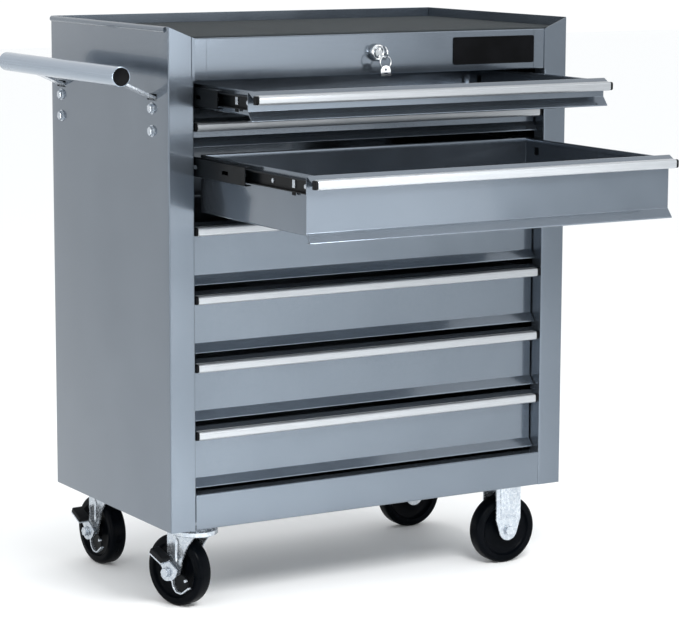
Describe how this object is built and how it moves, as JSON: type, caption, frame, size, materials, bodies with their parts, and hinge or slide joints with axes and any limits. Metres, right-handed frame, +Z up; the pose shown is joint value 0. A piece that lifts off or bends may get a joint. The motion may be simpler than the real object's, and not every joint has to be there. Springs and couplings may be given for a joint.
{
  "type": "rolling tool chest",
  "caption": "Sheet-steel rolling tool chest with a stack of sliding drawers, full-width pulls, side push handle, keyed lock and swivel and fixed casters.",
  "frame": {"origin": "middle of the object's bounding box as stored (one drawer half open, one fully open), on the floor under the wheels", "axes": "+Z up; drawers open towards -Y; +X to the right when facing the drawers, with the push handle on the -X side"},
  "size_m": [0.6958, 0.6856, 0.775],
  "materials": {
    "painted_steel": "glossy metallic grey-blue powder coat over folded sheet steel",
    "mat_rubber": "matt dark grey ribbed mat",
    "nameplate_plastic": "blank gloss black plate",
    "black_slide_steel": "black electrocoated ball-bearing slide steel",
    "lock_chrome": "polished chrome",
    "zinc_plate": "bright zinc-plated pressed steel",
    "handle_steel": "satin silver coating on steel tube",
    "black_plastic": "matt black moulded plastic",
    "wheel_plastic": "semi-gloss black polypropylene wheel",
    "pull_aluminium": "satin anodised extrusion"
  },
  "bodies": {
    "root": {"side_panel_left": "painted_steel", "side_panel_right": "painted_steel", "back_panel": "painted_steel", "base_pan": "painted_steel", "top_panel": "painted_steel", "header_panel": "painted_steel", "bottom_rail": "painted_steel", "top_mat": "mat_rubber", "nameplate": "nameplate_plastic", "slide_rack_left": "black_slide_steel", "slide_rack_right": "black_slide_steel", "lock_barrel": "lock_chrome", "lock_bar": "zinc_plate", "handle_tube": "handle_steel", "handle_cap_front": "black_plastic", "handle_cap_rear": "black_plastic", "handle_bracket_front": "zinc_plate", "handle_bracket_rear": "zinc_plate", "caster_plate_front_left": "zinc_plate", "caster_plate_rear_left": "zinc_plate", "caster_fork_front_right": "zinc_plate", "caster_fork_rear_right": "zinc_plate"},
    "drawer_1": {"drawer_1": "painted_steel", "pull_1": "pull_aluminium"},
    "slide_1_left": {"slide_1_left": "black_slide_steel"},
    "slide_1_right": {"slide_1_right": "black_slide_steel"},
    "drawer_2": {"drawer_2": "painted_steel", "pull_2": "pull_aluminium"},
    "slide_2_left": {"slide_2_left": "black_slide_steel"},
    "slide_2_right": {"slide_2_right": "black_slide_steel"},
    "drawer_3": {"drawer_3": "painted_steel", "pull_3": "pull_aluminium"},
    "slide_3_left": {"slide_3_left": "black_slide_steel"},
    "slide_3_right": {"slide_3_right": "black_slide_steel"},
    "drawer_4": {"drawer_4": "painted_steel", "pull_4": "pull_aluminium"},
    "slide_4_left": {"slide_4_left": "black_slide_steel"},
    "slide_4_right": {"slide_4_right": "black_slide_steel"},
    "drawer_5": {"drawer_5": "painted_steel", "pull_5": "pull_aluminium"},
    "slide_5_left": {"slide_5_left": "black_slide_steel"},
    "slide_5_right": {"slide_5_right": "black_slide_steel"},
    "drawer_6": {"drawer_6": "painted_steel", "pull_6": "pull_aluminium"},
    "slide_6_left": {"slide_6_left": "black_slide_steel"},
    "slide_6_right": {"slide_6_right": "black_slide_steel"},
    "drawer_7": {"drawer_7": "painted_steel", "pull_7": "pull_aluminium"},
    "slide_7_left": {"slide_7_left": "black_slide_steel"},
    "slide_7_right": {"slide_7_right": "black_slide_steel"},
    "lock_core": {"lock_core": "lock_chrome"},
    "key_set": {"key_set": "lock_chrome"},
    "caster_fork_front_left": {"caster_fork_front_left": "zinc_plate"},
    "wheel_front_left": {"wheel_front_left": "wheel_plastic"},
    "brake_pedal_front_left": {"brake_pedal_front_left": "zinc_plate"},
    "caster_fork_rear_left": {"caster_fork_rear_left": "zinc_plate"},
    "wheel_rear_left": {"wheel_rear_left": "wheel_plastic"},
    "brake_pedal_rear_left": {"brake_pedal_rear_left": "zinc_plate"},
    "wheel_front_right": {"wheel_front_right": "wheel_plastic"},
    "wheel_rear_right": {"wheel_rear_right": "wheel_plastic"}
  },
  "joints": [
    {"name": "drawer_1_slide", "type": "slide", "parent": "root", "child": "drawer_1", "axis": [0, -1, 0], "range_m": [-0.162, 0.144]},
    {"name": "slide_1_left_travel", "type": "slide", "parent": "root", "child": "slide_1_left", "axis": [0, -1, 0], "range_m": [-0.081, 0.072]},
    {"name": "slide_1_right_travel", "type": "slide", "parent": "root", "child": "slide_1_right", "axis": [0, -1, 0], "range_m": [-0.081, 0.072]},
    {"name": "drawer_2_slide", "type": "slide", "parent": "root", "child": "drawer_2", "axis": [0, -1, 0], "range_m": [0, 0.306]},
    {"name": "slide_2_left_travel", "type": "slide", "parent": "root", "child": "slide_2_left", "axis": [0, -1, 0], "range_m": [0, 0.153]},
    {"name": "slide_2_right_travel", "type": "slide", "parent": "root", "child": "slide_2_right", "axis": [0, -1, 0], "range_m": [0, 0.153]},
    {"name": "drawer_3_slide", "type": "slide", "parent": "root", "child": "drawer_3", "axis": [0, -1, 0], "range_m": [-0.306, 0]},
    {"name": "slide_3_left_travel", "type": "slide", "parent": "root", "child": "slide_3_left", "axis": [0, -1, 0], "range_m": [-0.153, 0]},
    {"name": "slide_3_right_travel", "type": "slide", "parent": "root", "child": "slide_3_right", "axis": [0, -1, 0], "range_m": [-0.153, 0]},
    {"name": "drawer_4_slide", "type": "slide", "parent": "root", "child": "drawer_4", "axis": [0, -1, 0], "range_m": [0, 0.306]},
    {"name": "slide_4_left_travel", "type": "slide", "parent": "root", "child": "slide_4_left", "axis": [0, -1, 0], "range_m": [0, 0.153]},
    {"name": "slide_4_right_travel", "type": "slide", "parent": "root", "child": "slide_4_right", "axis": [0, -1, 0], "range_m": [0, 0.153]},
    {"name": "drawer_5_slide", "type": "slide", "parent": "root", "child": "drawer_5", "axis": [0, -1, 0], "range_m": [0, 0.306]},
    {"name": "slide_5_left_travel", "type": "slide", "parent": "root", "child": "slide_5_left", "axis": [0, -1, 0], "range_m": [0, 0.153]},
    {"name": "slide_5_right_travel", "type": "slide", "parent": "root", "child": "slide_5_right", "axis": [0, -1, 0], "range_m": [0, 0.153]},
    {"name": "drawer_6_slide", "type": "slide", "parent": "root", "child": "drawer_6", "axis": [0, -1, 0], "range_m": [0, 0.306]},
    {"name": "slide_6_left_travel", "type": "slide", "parent": "root", "child": "slide_6_left", "axis": [0, -1, 0], "range_m": [0, 0.153]},
    {"name": "slide_6_right_travel", "type": "slide", "parent": "root", "child": "slide_6_right", "axis": [0, -1, 0], "range_m": [0, 0.153]},
    {"name": "drawer_7_slide", "type": "slide", "parent": "root", "child": "drawer_7", "axis": [0, -1, 0], "range_m": [0, 0.306]},
    {"name": "slide_7_left_travel", "type": "slide", "parent": "root", "child": "slide_7_left", "axis": [0, -1, 0], "range_m": [0, 0.153]},
    {"name": "slide_7_right_travel", "type": "slide", "parent": "root", "child": "slide_7_right", "axis": [0, -1, 0], "range_m": [0, 0.153]},
    {"name": "lock_turn", "type": "hinge", "parent": "root", "child": "lock_core", "pos_m": [0.0373, -0.03682, 0.7345], "axis": [0, 1, 0], "range_deg": [0, 90]},
    {"name": "key_set_swing", "type": "hinge", "parent": "lock_core", "child": "key_set", "pos_m": [0.0373, -0.06082, 0.731], "axis": [1, 0, 0], "range_deg": [-60, 25]},
    {"name": "caster_front_left_swivel", "type": "hinge", "parent": "root", "child": "caster_fork_front_left", "pos_m": [-0.2107, 0.01318, 0.118], "axis": [0, 0, 1], "continuous": true},
    {"name": "wheel_front_left_spin", "type": "hinge", "parent": "caster_fork_front_left", "child": "wheel_front_left", "pos_m": [-0.21982, 0.03965, 0.0487], "axis": [0.9455, 0.3256, 0], "continuous": true},
    {"name": "brake_front_left_press", "type": "hinge", "parent": "caster_fork_front_left", "child": "brake_pedal_front_left", "pos_m": [-0.21982, 0.03965, 0.0487], "axis": [0.9455, 0.3256, 0], "range_deg": [-18, 0]},
    {"name": "caster_rear_left_swivel", "type": "hinge", "parent": "root", "child": "caster_fork_rear_left", "pos_m": [-0.2107, 0.26568, 0.118], "axis": [0, 0, 1], "continuous": true},
    {"name": "wheel_rear_left_spin", "type": "hinge", "parent": "caster_fork_rear_left", "child": "wheel_rear_left", "pos_m": [-0.21314, 0.29357, 0.0487], "axis": [0.9962, 0.0872, 0], "continuous": true},
    {"name": "brake_rear_left_press", "type": "hinge", "parent": "caster_fork_rear_left", "child": "brake_pedal_rear_left", "pos_m": [-0.21314, 0.29357, 0.0487], "axis": [0.9962, 0.0872, 0], "range_deg": [-18, 0]},
    {"name": "wheel_front_right_spin", "type": "hinge", "parent": "root", "child": "wheel_front_right", "pos_m": [0.2833, 0.01568, 0.0487], "axis": [0, 1, 0], "continuous": true},
    {"name": "wheel_rear_right_spin", "type": "hinge", "parent": "root", "child": "wheel_rear_right", "pos_m": [0.2833, 0.26568, 0.0487], "axis": [0, 1, 0], "continuous": true}
  ],
  "couplings": [
    {"joint": "slide_1_left_travel", "follows": "drawer_1_slide", "ratio": 0.5},
    {"joint": "slide_1_right_travel", "follows": "drawer_1_slide", "ratio": 0.5},
    {"joint": "slide_2_left_travel", "follows": "drawer_2_slide", "ratio": 0.5},
    {"joint": "slide_2_right_travel", "follows": "drawer_2_slide", "ratio": 0.5},
    {"joint": "slide_3_left_travel", "follows": "drawer_3_slide", "ratio": 0.5},
    {"joint": "slide_3_right_travel", "follows": "drawer_3_slide", "ratio": 0.5},
    {"joint": "slide_4_left_travel", "follows": "drawer_4_slide", "ratio": 0.5},
    {"joint": "slide_4_right_travel", "follows": "drawer_4_slide", "ratio": 0.5},
    {"joint": "slide_5_left_travel", "follows": "drawer_5_slide", "ratio": 0.5},
    {"joint": "slide_5_right_travel", "follows": "drawer_5_slide", "ratio": 0.5},
    {"joint": "slide_6_left_travel", "follows": "drawer_6_slide", "ratio": 0.5},
    {"joint": "slide_6_right_travel", "follows": "drawer_6_slide", "ratio": 0.5},
    {"joint": "slide_7_left_travel", "follows": "drawer_7_slide", "ratio": 0.5},
    {"joint": "slide_7_right_travel", "follows": "drawer_7_slide", "ratio": 0.5}
  ]
}
